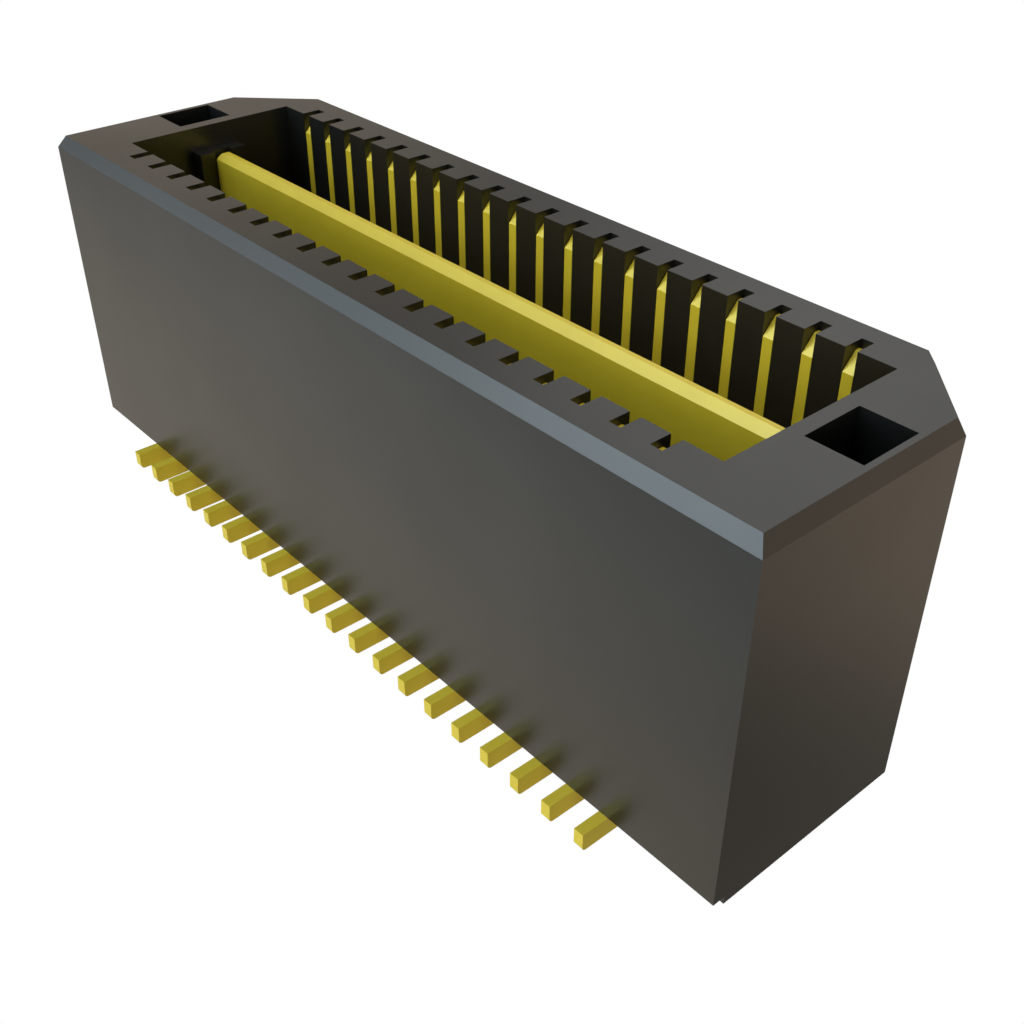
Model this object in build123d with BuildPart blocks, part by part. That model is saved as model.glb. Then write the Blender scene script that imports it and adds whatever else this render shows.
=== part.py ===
"""Vertical board to board socket: moulded housing, ground blade and two rows of blanked contacts.

All sizes are in millimetres. X runs along the rows, Y across them with the cut corners at +Y, and Z
is up. The origin is on the board, under the middle of the connector.
"""
import os

from build123d import *

# Contact rows
contacts_per_row = 20
contact_pitch = 0.80

# Housing, along the rows
cavity_end_margin = 0.84
pocket_inner_wall = 0.29
pocket_length = 1.00
pocket_outer_wall = 0.27

# Housing, across the rows
cavity_width = 3.93
slot_depth = 0.425
side_wall = 0.60
pocket_width = 1.26

# Housing, heights
housing_height = 6.88
floor_thickness = 1.98
pocket_depth = 3.00

# Housing, edges
rim_chamfer_width = 0.16
rim_chamfer_height = 0.255
corner_cut = 1.53

# Feet under the two ends
foot_height = 0.17
foot_length = 1.25
foot_setback = 0.26

# Posts on the end walls, with the grooves that guide the blade
post_length = 0.36
post_width = 1.13
post_drop = 0.51
groove_depth = 0.125

# Ground blade
blade_thickness = 0.40
blade_drop = 0.51
blade_bevel = 0.15
blade_corner_radius = 0.18
blade_end_gap = 0.02
blade_shoulder_height = 1.90
blade_leg_count = 4
blade_leg_width = 1.20
blade_leg_pitches = 6

# Contacts, blanked from flat strip; the tips of the front row are cut steeper
contact_thickness = 0.21
contact_inset = 0.01
tip_drop = 0.145
tip_bevel_height = 0.295
front_bevel_depth = 0.135
back_bevel_depth = 0.27
tip_radius = 0.05
tail_thickness = 0.39
tail_reach = 0.56
tail_end_radius = 0.09
heel_radius = 0.20
root_width = 0.58
root_height = 1.45
barb_count = 2
barb_height = 0.36
barb_spacing = 0.62
barb_reach = 0.06

# Clearances
slot_clearance = 0.01
contact_back_clearance = 0.01
blade_clearance = 0.01

# Heights above the board: the solder tails carry the housing
underside_z = tail_thickness
floor_z = underside_z + floor_thickness
top_z = underside_z + housing_height
blade_top_z = top_z - blade_drop
post_top_z = top_z - post_drop
tip_z = top_z - tip_drop

# Lengths and widths that follow from the rows
row_length = contact_pitch * (contacts_per_row - 1)
cavity_length = row_length + 2 * cavity_end_margin
pocket_x = cavity_length / 2 + pocket_inner_wall + pocket_length / 2
housing_length = 2 * pocket_x + pocket_length + 2 * pocket_outer_wall
slot_width = contact_thickness + 2 * slot_clearance
slot_back_y = cavity_width / 2 + slot_depth
housing_width = 2 * (slot_back_y + side_wall)

# Where the contacts stand in their slots
contact_face_y = cavity_width / 2 + contact_inset
contact_back_y = slot_back_y - contact_back_clearance
root_inner_y = contact_back_y - root_width
barb_tip_y = root_inner_y - barb_reach
root_top_z = underside_z + root_height
tail_end_y = housing_width / 2 + tail_reach

# Where the blade stands in its grooves and leg slots
groove_width = blade_thickness + 2 * blade_clearance
post_face_x = cavity_length / 2 - post_length
groove_bottom_x = post_face_x + groove_depth
blade_length = 2 * (post_face_x - blade_end_gap)
blade_shoulder_length = 2 * (groove_bottom_x - blade_clearance)
blade_leg_spacing = blade_leg_pitches * contact_pitch


def housing_outline():
    """Plan of the housing: a rectangle with the two back corners cut off."""
    with BuildSketch(mode=Mode.PRIVATE) as outline:
        Rectangle(housing_length, housing_width)
        chamfer(outline.vertices().group_by(Axis.Y)[-1], corner_cut)
    return outline.sketch


with BuildPart() as housing:
    # Solid block with its cut back corners and steep chamfered rim
    with BuildSketch(Plane.XY.offset(underside_z)):
        add(housing_outline())
    extrude(amount=housing_height)
    top_face = housing.faces().sort_by(Axis.Z)[-1]
    chamfer(top_face.edges(), length=rim_chamfer_width, length2=rim_chamfer_height, reference=top_face)

    # Cavity for the mating connector
    with BuildSketch(Plane.XY.offset(floor_z)):
        Rectangle(cavity_length, cavity_width)
    extrude(amount=housing_height, mode=Mode.SUBTRACT)

    # Slots in both long walls, open from the rim to the underside
    with BuildSketch(Plane.XY.offset(underside_z)):
        with GridLocations(contact_pitch, 2 * slot_back_y - slot_depth, contacts_per_row, 2):
            Rectangle(slot_width, slot_depth)
    extrude(amount=housing_height, mode=Mode.SUBTRACT)

    # Wider channels below the floor for the roots of the contacts
    channel_width = slot_back_y - barb_tip_y
    with BuildSketch(Plane.XY.offset(underside_z)):
        with GridLocations(contact_pitch, 2 * slot_back_y - channel_width, contacts_per_row, 2):
            Rectangle(slot_width, channel_width)
    extrude(amount=root_height, mode=Mode.SUBTRACT)

    # Pockets at both ends for the guide pegs of the mating connector
    with BuildSketch(Plane.XY.offset(top_z)):
        with GridLocations(2 * pocket_x, 0, 2, 1):
            Rectangle(pocket_length, pocket_width)
    extrude(amount=-pocket_depth, mode=Mode.SUBTRACT)

    # Posts on the end walls
    with BuildSketch(Plane.XY.offset(floor_z)):
        with GridLocations(cavity_length - post_length, 0, 2, 1):
            Rectangle(post_length, post_width)
    extrude(amount=post_top_z - floor_z)

    # Grooves down the faces of the posts
    with BuildSketch(Plane.XY.offset(floor_z)):
        Rectangle(2 * groove_bottom_x, groove_width)
    extrude(amount=housing_height, mode=Mode.SUBTRACT)

    # Slots in the floor for the legs of the blade
    with BuildSketch(Plane.XY.offset(underside_z)):
        with GridLocations(blade_leg_spacing, 0, blade_leg_count, 1):
            Rectangle(blade_leg_width + 2 * blade_clearance, groove_width)
    extrude(amount=floor_thickness, mode=Mode.SUBTRACT)

    # Feet under the ends, flush with the end faces and the cut corners
    foot_x = housing_length / 2 - foot_length / 2
    with BuildSketch(Plane.XY.offset(underside_z)):
        with GridLocations(2 * foot_x, 0, 2, 1):
            Rectangle(foot_length, housing_width - 2 * foot_setback)
        add(housing_outline(), mode=Mode.INTERSECT)
    extrude(amount=-foot_height)


with BuildPart() as ground_blade:
    # Upper blade between the posts, with rounded corners
    with BuildSketch(Plane.XZ) as front_view:
        with Locations((0, blade_top_z)):
            Rectangle(blade_length, blade_top_z - floor_z, align=(Align.CENTER, Align.MAX))
        fillet(front_view.vertices().group_by(Axis.Z)[-1], blade_corner_radius)
    extrude(amount=blade_thickness / 2, both=True)

    # Bevels that run straight through along both sides of its top
    with BuildSketch(Plane.YZ) as end_view:
        with Locations((0, blade_top_z)):
            Rectangle(blade_thickness, blade_top_z - floor_z, align=(Align.CENTER, Align.MAX))
        chamfer(end_view.vertices().group_by(Axis.Z)[-1], blade_bevel)
    extrude(amount=blade_length / 2, both=True, mode=Mode.INTERSECT)

    # Shoulders that run in the grooves, and legs down to the board
    with BuildSketch(Plane.XZ):
        with Locations((0, floor_z)):
            Rectangle(blade_shoulder_length, blade_shoulder_height, align=(Align.CENTER, Align.MIN))
        with GridLocations(blade_leg_spacing, 0, blade_leg_count, 1):
            Rectangle(blade_leg_width, floor_z, align=(Align.CENTER, Align.MIN))
    extrude(amount=blade_thickness / 2, both=True)


def contact_outline(side, bevel_depth):
    """Side view of one contact; side is 1 in the back row and -1 in the front row."""
    barb_edge = []
    for barb in range(barb_count):
        barb_z = root_top_z - barb_spacing * (barb_count - barb)
        barb_edge += [(root_inner_y, barb_z), (barb_tip_y, barb_z), (root_inner_y, barb_z + barb_height)]
    points = [
        (tail_end_y, 0),
        (root_inner_y, 0),
        *barb_edge,
        (root_inner_y, root_top_z),
        (contact_face_y, root_top_z),
        (contact_face_y, tip_z - tip_bevel_height),
        (contact_face_y + bevel_depth, tip_z),
        (contact_back_y, tip_z),
        (contact_back_y, underside_z),
        (tail_end_y, underside_z),
    ]
    with BuildSketch(mode=Mode.PRIVATE) as outline:
        with BuildLine():
            Polyline([(side * y, z) for y, z in points], close=True)
        make_face()
        fillet(outline.vertices().group_by(Axis.Y)[-1], tip_radius)
        heel = outline.vertices().group_by(Axis.Y)[0].sort_by_distance((0, 0))[0]
        fillet(heel, heel_radius)
        tail_end = outline.vertices().group_by(Axis.Y)[0].sort_by_distance((0, 0))[-1]
        fillet(tail_end, tail_end_radius)
    return outline.sketch


os.makedirs("parts", exist_ok=True)

housing.part.label = "housing"
export_step(housing.part, "parts/housing.step")

ground_blade.part.label = "ground_blade"
export_step(ground_blade.part, "parts/ground_blade.step")

for row, side, bevel_depth in (("front", -1, front_bevel_depth), ("back", 1, back_bevel_depth)):
    outline = contact_outline(side, bevel_depth)
    for number in range(contacts_per_row):
        contact_x = contact_pitch * number - row_length / 2
        with BuildPart() as contact:
            with BuildSketch(Plane.YZ.offset(contact_x)):
                add(outline)
            extrude(amount=contact_thickness / 2, both=True)
        contact.part.label = f"contact_{row}_{number + 1:02d}"
        export_step(contact.part, f"parts/{contact.part.label}.step")
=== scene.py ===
"""Looks of a vertical board to board socket: plastic, gold plating, studio and camera."""

import math

import bpy
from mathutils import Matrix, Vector


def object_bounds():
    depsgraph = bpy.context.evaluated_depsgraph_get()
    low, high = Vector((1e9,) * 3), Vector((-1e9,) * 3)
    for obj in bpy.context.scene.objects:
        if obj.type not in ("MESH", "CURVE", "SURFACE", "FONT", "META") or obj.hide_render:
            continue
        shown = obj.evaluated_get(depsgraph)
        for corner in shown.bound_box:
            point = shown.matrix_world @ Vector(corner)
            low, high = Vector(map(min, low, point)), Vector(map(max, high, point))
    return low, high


bl_info = {
    "name": "Board to board socket",
    "version": (1, 0, 0),
    "blender": (4, 5, 0),
    "location": "3D View > Sidebar > Socket",
    "description": "Finishes the pieces of a board to board socket and builds its studio",
    "category": "Object",
}

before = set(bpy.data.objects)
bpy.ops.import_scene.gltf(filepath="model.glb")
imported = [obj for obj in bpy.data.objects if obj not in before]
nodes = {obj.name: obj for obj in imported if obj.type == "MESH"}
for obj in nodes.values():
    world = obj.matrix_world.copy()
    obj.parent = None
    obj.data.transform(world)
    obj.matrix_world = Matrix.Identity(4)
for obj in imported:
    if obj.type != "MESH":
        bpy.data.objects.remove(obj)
cad_low, cad_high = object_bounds()
cad_centre = (cad_low + cad_high) / 2

MM = 0.001

# Width of the camera's sensor, in millimetres
SENSOR_WIDTH = 36.0

# Most of the noise lies within the first span, and colours turn over within the second
NOISE_LOW, NOISE_HIGH = 0.3, 0.7
BLEND_LOW, BLEND_HIGH = 0.35, 0.65

# Azimuth, elevation and spread in degrees, colour and brightness of each lamp, as in add_lamp. A fit
# to the light in the photograph gave most of these values, and they were then rounded.
LAMPS = {
    "window": (-34, 33, 16, (0.62, 0.85, 1.0), 2.5),
    "window_high": (-20, 49, 14, (0.63, 0.83, 1.0), 6.4),
    "window_low": (-33, 20, 10, (0.92, 0.98, 1.0), 3.4),
    "overhead": (126, 79, 18, (0.88, 0.90, 0.90), 2.6),
    "front_glow": (-29, -7, 36, (0.63, 0.86, 1.0), 0.36),
    "front_left": (-55, 4, 12, (0.88, 0.96, 1.0), 1.3),
    "front_right": (34, 4, 20, (0.72, 0.90, 1.0), 4.6),
    "table_left": (-105, -58, 48, (1.0, 0.84, 0.65), 0.61),
    "left_side": (-114, 7, 18, (1.0, 0.84, 0.66), 0.59),
    "back_high": (-148, 39, 17, (1.0, 0.99, 0.95), 1.0),
    "back_glow": (145, 2, 42, (1.0, 0.78, 0.55), 0.50),
}


class PlasticSettings(bpy.types.PropertyGroup):
    """The moulded black plastic of the housing."""

    dark: bpy.props.FloatVectorProperty(
        name="Dark tone", description="Colour of the plastic in its darker clouds",
        subtype="COLOR", size=3, min=0, max=1, default=(0.006, 0.006, 0.005))
    light: bpy.props.FloatVectorProperty(
        name="Light tone", description="Colour of the plastic in its lighter clouds",
        subtype="COLOR", size=3, min=0, max=1, default=(0.008, 0.008, 0.007))
    cloud_size: bpy.props.FloatProperty(
        name="Cloud size", description="Width of the faint clouds in the colour",
        unit="LENGTH", default=3.0 * MM)
    grain_size: bpy.props.FloatProperty(
        name="Grain size", description="Width of the fine grain that the mould leaves",
        unit="LENGTH", default=0.05 * MM)
    grain_height: bpy.props.FloatProperty(
        name="Grain height", description="Height of the fine grain",
        unit="LENGTH", default=0.0006 * MM)
    roughness_low: bpy.props.FloatProperty(
        name="Least roughness", description="Roughness of the smoothest patches",
        subtype="FACTOR", min=0, max=1, default=0.31)
    roughness_high: bpy.props.FloatProperty(
        name="Most roughness", description="Roughness of the dullest patches",
        subtype="FACTOR", min=0, max=1, default=0.35)
    refraction: bpy.props.FloatProperty(
        name="Refraction", description="Refractive index, which sets how much the plastic mirrors",
        min=1, max=4, default=1.7)


class PlatingSettings(bpy.types.PropertyGroup):
    """The gold plating of the contacts and the ground blade."""

    pale: bpy.props.FloatVectorProperty(
        name="Pale tone", description="Colour of the plating where it is palest",
        subtype="COLOR", size=3, min=0, max=1, default=(0.82, 0.58, 0.028))
    deep: bpy.props.FloatVectorProperty(
        name="Deep tone", description="Colour of the plating where it is deepest",
        subtype="COLOR", size=3, min=0, max=1, default=(0.78, 0.55, 0.022))
    patch_size: bpy.props.FloatProperty(
        name="Patch size", description="Width of the faint patches in the colour",
        unit="LENGTH", default=0.8 * MM)
    line_width: bpy.props.FloatProperty(
        name="Line width", description="Width of the fine lines that the press tool leaves",
        unit="LENGTH", default=0.03 * MM)
    line_height: bpy.props.FloatProperty(
        name="Line height", description="Height of the fine lines",
        unit="LENGTH", default=0.0004 * MM)
    roughness_low: bpy.props.FloatProperty(
        name="Least roughness", description="Roughness of the brightest patches",
        subtype="FACTOR", min=0, max=1, default=0.40)
    roughness_high: bpy.props.FloatProperty(
        name="Most roughness", description="Roughness of the dullest patches",
        subtype="FACTOR", min=0, max=1, default=0.44)
    refraction: bpy.props.FloatProperty(
        name="Refraction", description="Refractive index, which sets how much the plating mirrors",
        min=1, max=4, default=1.75)
    metallic: bpy.props.FloatProperty(
        name="Metallic", description="Share of the plating that looks like bare metal",
        subtype="FACTOR", min=0, max=1, default=0.15)
    blade_stretch: bpy.props.FloatProperty(
        name="Blade stretch", description="Length of the blade's lines, as a multiple of their width",
        min=1, default=30.0)
    contact_stretch: bpy.props.FloatProperty(
        name="Contact stretch", description="Length of the contacts' lines, as a multiple of their width",
        min=1, default=20.0)


class StudioSettings(bpy.types.PropertyGroup):
    """The floor, the lights and the camera."""

    floor_size: bpy.props.FloatProperty(
        name="Floor size", description="Side of the square floor",
        unit="LENGTH", default=4.0)
    backdrop: bpy.props.FloatVectorProperty(
        name="Backdrop", description="Colour of the floor and of what lies past it",
        subtype="COLOR", size=3, min=0, max=2, default=(1.0, 1.0, 1.0))
    ambient: bpy.props.FloatVectorProperty(
        name="Ambient", description="Colour of the soft light from all sides",
        subtype="COLOR", size=3, min=0, max=2, default=(0.133, 0.125, 0.114))
    lamp_distance: bpy.props.FloatProperty(
        name="Lamp distance", description="How far the lamps stand from the socket",
        unit="LENGTH", default=0.30)
    camera_place: bpy.props.FloatVectorProperty(
        name="Camera place", description="Where the camera stands",
        subtype="TRANSLATION", unit="LENGTH", size=3,
        default=(17.281 * MM, -13.376 * MM, 16.363 * MM))
    camera_azimuth: bpy.props.FloatProperty(
        name="Camera azimuth", description="Angle of the view about the upright, from along +Y",
        subtype="ANGLE", default=math.radians(49.061))
    camera_elevation: bpy.props.FloatProperty(
        name="Camera elevation", description="Angle by which the view looks down",
        subtype="ANGLE", default=math.radians(35.011))
    camera_lens: bpy.props.FloatProperty(
        name="Lens", description="Focal length for a sensor of 36 mm, in millimetres",
        min=1, default=44.255)


def add_node(tree, kind, **values):
    """A new shader node; values set its properties, or its inputs where it has no such property."""
    node = tree.nodes.new(kind)
    for name, value in values.items():
        if hasattr(node, name):
            setattr(node, name, value)
        else:
            node.inputs[name].default_value = value
    return node


def new_material(name):
    """A material with a shader and its output: (material, tree, shader)."""
    material = bpy.data.materials.new(name)
    material.use_nodes = True
    tree = material.node_tree
    tree.nodes.clear()
    shader = add_node(tree, "ShaderNodeBsdfPrincipled")
    output = add_node(tree, "ShaderNodeOutputMaterial")
    tree.links.new(shader.outputs["BSDF"], output.inputs["Surface"])
    return material, tree, shader


def pattern(tree, cell, stretch=(1, 1, 1), detail=2.0):
    """Noise on the piece's own coordinates, in cells of that width in metres, stretched along axes."""
    place = add_node(tree, "ShaderNodeTexCoord")
    scale = add_node(tree, "ShaderNodeMapping")
    scale.inputs["Scale"].default_value = [1 / (cell * length) for length in stretch]
    noise = add_node(tree, "ShaderNodeTexNoise", Scale=1.0, Detail=detail)
    tree.links.new(place.outputs["Object"], scale.inputs["Vector"])
    tree.links.new(scale.outputs["Vector"], noise.inputs["Vector"])
    return noise.outputs["Fac"]


def between(tree, source, low, high, socket):
    """Drives the socket with the pattern, from low to high over the noise's usual span."""
    spread = add_node(tree, "ShaderNodeMapRange")
    spread.inputs["From Min"].default_value = NOISE_LOW
    spread.inputs["From Max"].default_value = NOISE_HIGH
    spread.inputs["To Min"].default_value = low
    spread.inputs["To Max"].default_value = high
    tree.links.new(source, spread.inputs["Value"])
    tree.links.new(spread.outputs["Result"], socket)


def blend(tree, source, first, second, socket):
    """Drives the socket with a colour between the two, as the pattern goes."""
    ramp = add_node(tree, "ShaderNodeValToRGB")
    ramp.color_ramp.elements[0].position = BLEND_LOW
    ramp.color_ramp.elements[0].color = (*first, 1)
    ramp.color_ramp.elements[1].position = BLEND_HIGH
    ramp.color_ramp.elements[1].color = (*second, 1)
    tree.links.new(source, ramp.inputs["Fac"])
    tree.links.new(ramp.outputs["Color"], socket)


def raise_relief(tree, source, height, socket):
    """Bump of that height in metres from the pattern."""
    bump = add_node(tree, "ShaderNodeBump")
    bump.inputs["Strength"].default_value = 1.0
    bump.inputs["Distance"].default_value = height
    tree.links.new(source, bump.inputs["Height"])
    tree.links.new(bump.outputs["Normal"], socket)


def black_plastic(settings):
    """Semi-gloss black plastic with faint clouds and the fine grain of its mould."""
    material, tree, shader = new_material("black_plastic")
    shader.inputs["IOR"].default_value = settings.refraction
    clouds = pattern(tree, settings.cloud_size, detail=4.0)
    grain = pattern(tree, settings.grain_size, detail=3.0)
    blend(tree, clouds, settings.dark, settings.light, shader.inputs["Base Color"])
    between(tree, clouds, settings.roughness_high, settings.roughness_low, shader.inputs["Roughness"])
    raise_relief(tree, grain, settings.grain_height, shader.inputs["Normal"])
    return material


def gold_plating(name, settings, stretch):
    """Satin gold plating, with fine tool lines that are stretched along one axis."""
    material, tree, shader = new_material(name)
    shader.inputs["Metallic"].default_value = settings.metallic
    shader.inputs["IOR"].default_value = settings.refraction
    patches = pattern(tree, settings.patch_size, detail=3.0)
    lines = pattern(tree, settings.line_width, stretch, detail=2.0)
    blend(tree, patches, settings.deep, settings.pale, shader.inputs["Base Color"])
    between(tree, patches, settings.roughness_high, settings.roughness_low, shader.inputs["Roughness"])
    raise_relief(tree, lines, settings.line_height, shader.inputs["Normal"])
    return material


def finish_node(node, material):
    """Puts the material in every material slot of a piece."""
    if not node.material_slots:
        node.data.materials.append(material)
    for place in node.material_slots:
        place.material = material


class SOCKET_OT_finish_housing(bpy.types.Operator):
    """Gives the moulded housing its black plastic"""

    bl_idname = "socket.finish_housing"
    bl_label = "Finish housing"

    def execute(self, context):
        finish_node(nodes["housing"], black_plastic(context.scene.socket_plastic))
        return {"FINISHED"}


class SOCKET_OT_finish_blade(bpy.types.Operator):
    """Gives the ground blade its plating, with tool lines along the blade"""

    bl_idname = "socket.finish_blade"
    bl_label = "Finish ground blade"

    def execute(self, context):
        settings = context.scene.socket_plating
        plating = gold_plating("blade_plating", settings, stretch=(settings.blade_stretch, 1, 1))
        finish_node(nodes["ground_blade"], plating)
        return {"FINISHED"}


class SOCKET_OT_finish_contacts(bpy.types.Operator):
    """Gives every contact of both rows its plating, with tool lines down the contact"""

    bl_idname = "socket.finish_contacts"
    bl_label = "Finish contacts"

    def execute(self, context):
        settings = context.scene.socket_plating
        plating = gold_plating("contact_plating", settings, stretch=(1, 1, settings.contact_stretch))
        contacts = [name for name in nodes if name.startswith("contact_")]
        if not contacts:
            raise RuntimeError("the frame has no contacts")
        for name in contacts:
            finish_node(nodes[name], plating)
        return {"FINISHED"}


def add_lamp(name, distance, azimuth, elevation, spread, colour, brightness):
    """A round soft lamp that looks at the middle of the socket from that azimuth and elevation.

    Azimuth 0 is in front of the long wall and 90 off the right end, and angles are in degrees. From
    the socket the lamp's radius takes up the spread, and its face is that many times as bright as
    plain white."""
    data = bpy.data.lights.new(name, "AREA")
    data.shape = "DISK"
    radius = distance * math.tan(math.radians(spread))
    data.size = 2 * radius
    data.color = colour
    data.energy = brightness * (math.pi * radius) ** 2
    lamp = bpy.data.objects.new(name, data)
    bpy.context.scene.collection.objects.link(lamp)
    turn, rise = math.radians(azimuth), math.radians(elevation)
    back = Vector((math.sin(turn) * math.cos(rise), -math.cos(turn) * math.cos(rise), math.sin(rise)))
    lamp.location = cad_centre + distance * back
    lamp.rotation_euler = back.to_track_quat("Z", "Y").to_euler()


def build_backdrop(settings):
    """The light of the room, which the camera sees as the plain pale backdrop."""
    world = bpy.data.worlds.new("studio_room")
    bpy.context.scene.world = world
    world.use_nodes = True
    tree = world.node_tree
    tree.nodes.clear()
    path = add_node(tree, "ShaderNodeLightPath")
    room = add_node(tree, "ShaderNodeBackground", Color=(*settings.ambient, 1), Strength=1.0)
    seen = add_node(tree, "ShaderNodeBackground", Color=(*settings.backdrop, 1), Strength=1.0)
    mix = add_node(tree, "ShaderNodeMixShader")
    output = add_node(tree, "ShaderNodeOutputWorld")
    tree.links.new(path.outputs["Is Camera Ray"], mix.inputs["Fac"])
    tree.links.new(room.outputs["Background"], mix.inputs[1])
    tree.links.new(seen.outputs["Background"], mix.inputs[2])
    tree.links.new(mix.outputs["Shader"], output.inputs["Surface"])


def build_floor(settings):
    """A plain pale floor under the solder tails."""
    bpy.ops.object.select_all(action="DESELECT")
    bpy.ops.mesh.primitive_plane_add(size=settings.floor_size, location=(0, 0, cad_low.z))
    floor = bpy.context.object
    floor.name = "floor"
    material = bpy.data.materials.new("floor_paper")
    material.use_nodes = True
    tree = material.node_tree
    tree.nodes.clear()
    glow = add_node(tree, "ShaderNodeEmission", Color=(*settings.backdrop, 1), Strength=1.0)
    output = add_node(tree, "ShaderNodeOutputMaterial")
    tree.links.new(glow.outputs["Emission"], output.inputs["Surface"])
    floor.data.materials.append(material)
    floor.visible_diffuse = False
    floor.visible_glossy = False
    floor.visible_shadow = False


def build_camera(settings):
    """The camera at the photograph's place and angle."""
    data = bpy.data.cameras.new("camera")
    data.sensor_width = SENSOR_WIDTH
    data.lens = settings.camera_lens
    data.clip_start = 1 * MM
    camera = bpy.data.objects.new("camera", data)
    bpy.context.scene.collection.objects.link(camera)
    camera.location = settings.camera_place
    camera.rotation_euler = (math.pi / 2 - settings.camera_elevation, 0, settings.camera_azimuth)
    bpy.context.scene.camera = camera


class SOCKET_OT_build_studio(bpy.types.Operator):
    """Builds the floor, the lights and the camera"""

    bl_idname = "socket.build_studio"
    bl_label = "Build studio"

    def execute(self, context):
        settings = context.scene.socket_studio
        build_backdrop(settings)
        build_floor(settings)
        for name, lamp in LAMPS.items():
            add_lamp(name, settings.lamp_distance, *lamp)
        build_camera(settings)
        context.scene.view_settings.view_transform = "Standard"
        return {"FINISHED"}


class SOCKET_PT_looks(bpy.types.Panel):
    """The socket's finishes, studio and camera"""

    bl_idname = "SOCKET_PT_looks"
    bl_label = "Socket"
    bl_space_type = "VIEW_3D"
    bl_region_type = "UI"
    bl_category = "Socket"

    def draw(self, context):
        for title, settings, operators in (
            ("Plastic", context.scene.socket_plastic, ("socket.finish_housing",)),
            ("Plating", context.scene.socket_plating,
             ("socket.finish_blade", "socket.finish_contacts")),
            ("Studio", context.scene.socket_studio, ("socket.build_studio",)),
        ):
            column = self.layout.column()
            column.label(text=title)
            for name in settings.__annotations__:
                column.prop(settings, name)
            for operator in operators:
                column.operator(operator)


CLASSES = (
    PlasticSettings,
    PlatingSettings,
    StudioSettings,
    SOCKET_OT_finish_housing,
    SOCKET_OT_finish_blade,
    SOCKET_OT_finish_contacts,
    SOCKET_OT_build_studio,
    SOCKET_PT_looks,
)


def register():
    """Registers the classes and gives the scene their settings."""
    for item in CLASSES:
        bpy.utils.register_class(item)
    bpy.types.Scene.socket_plastic = bpy.props.PointerProperty(type=PlasticSettings)
    bpy.types.Scene.socket_plating = bpy.props.PointerProperty(type=PlatingSettings)
    bpy.types.Scene.socket_studio = bpy.props.PointerProperty(type=StudioSettings)


def unregister():
    """Takes the settings and the classes out again."""
    del bpy.types.Scene.socket_studio
    del bpy.types.Scene.socket_plating
    del bpy.types.Scene.socket_plastic
    for item in reversed(CLASSES):
        bpy.utils.unregister_class(item)


def main():
    """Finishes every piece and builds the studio."""
    register()
    bpy.ops.socket.finish_housing()
    bpy.ops.socket.finish_blade()
    bpy.ops.socket.finish_contacts()
    bpy.ops.socket.build_studio()


if __name__ == "__main__":
    main()
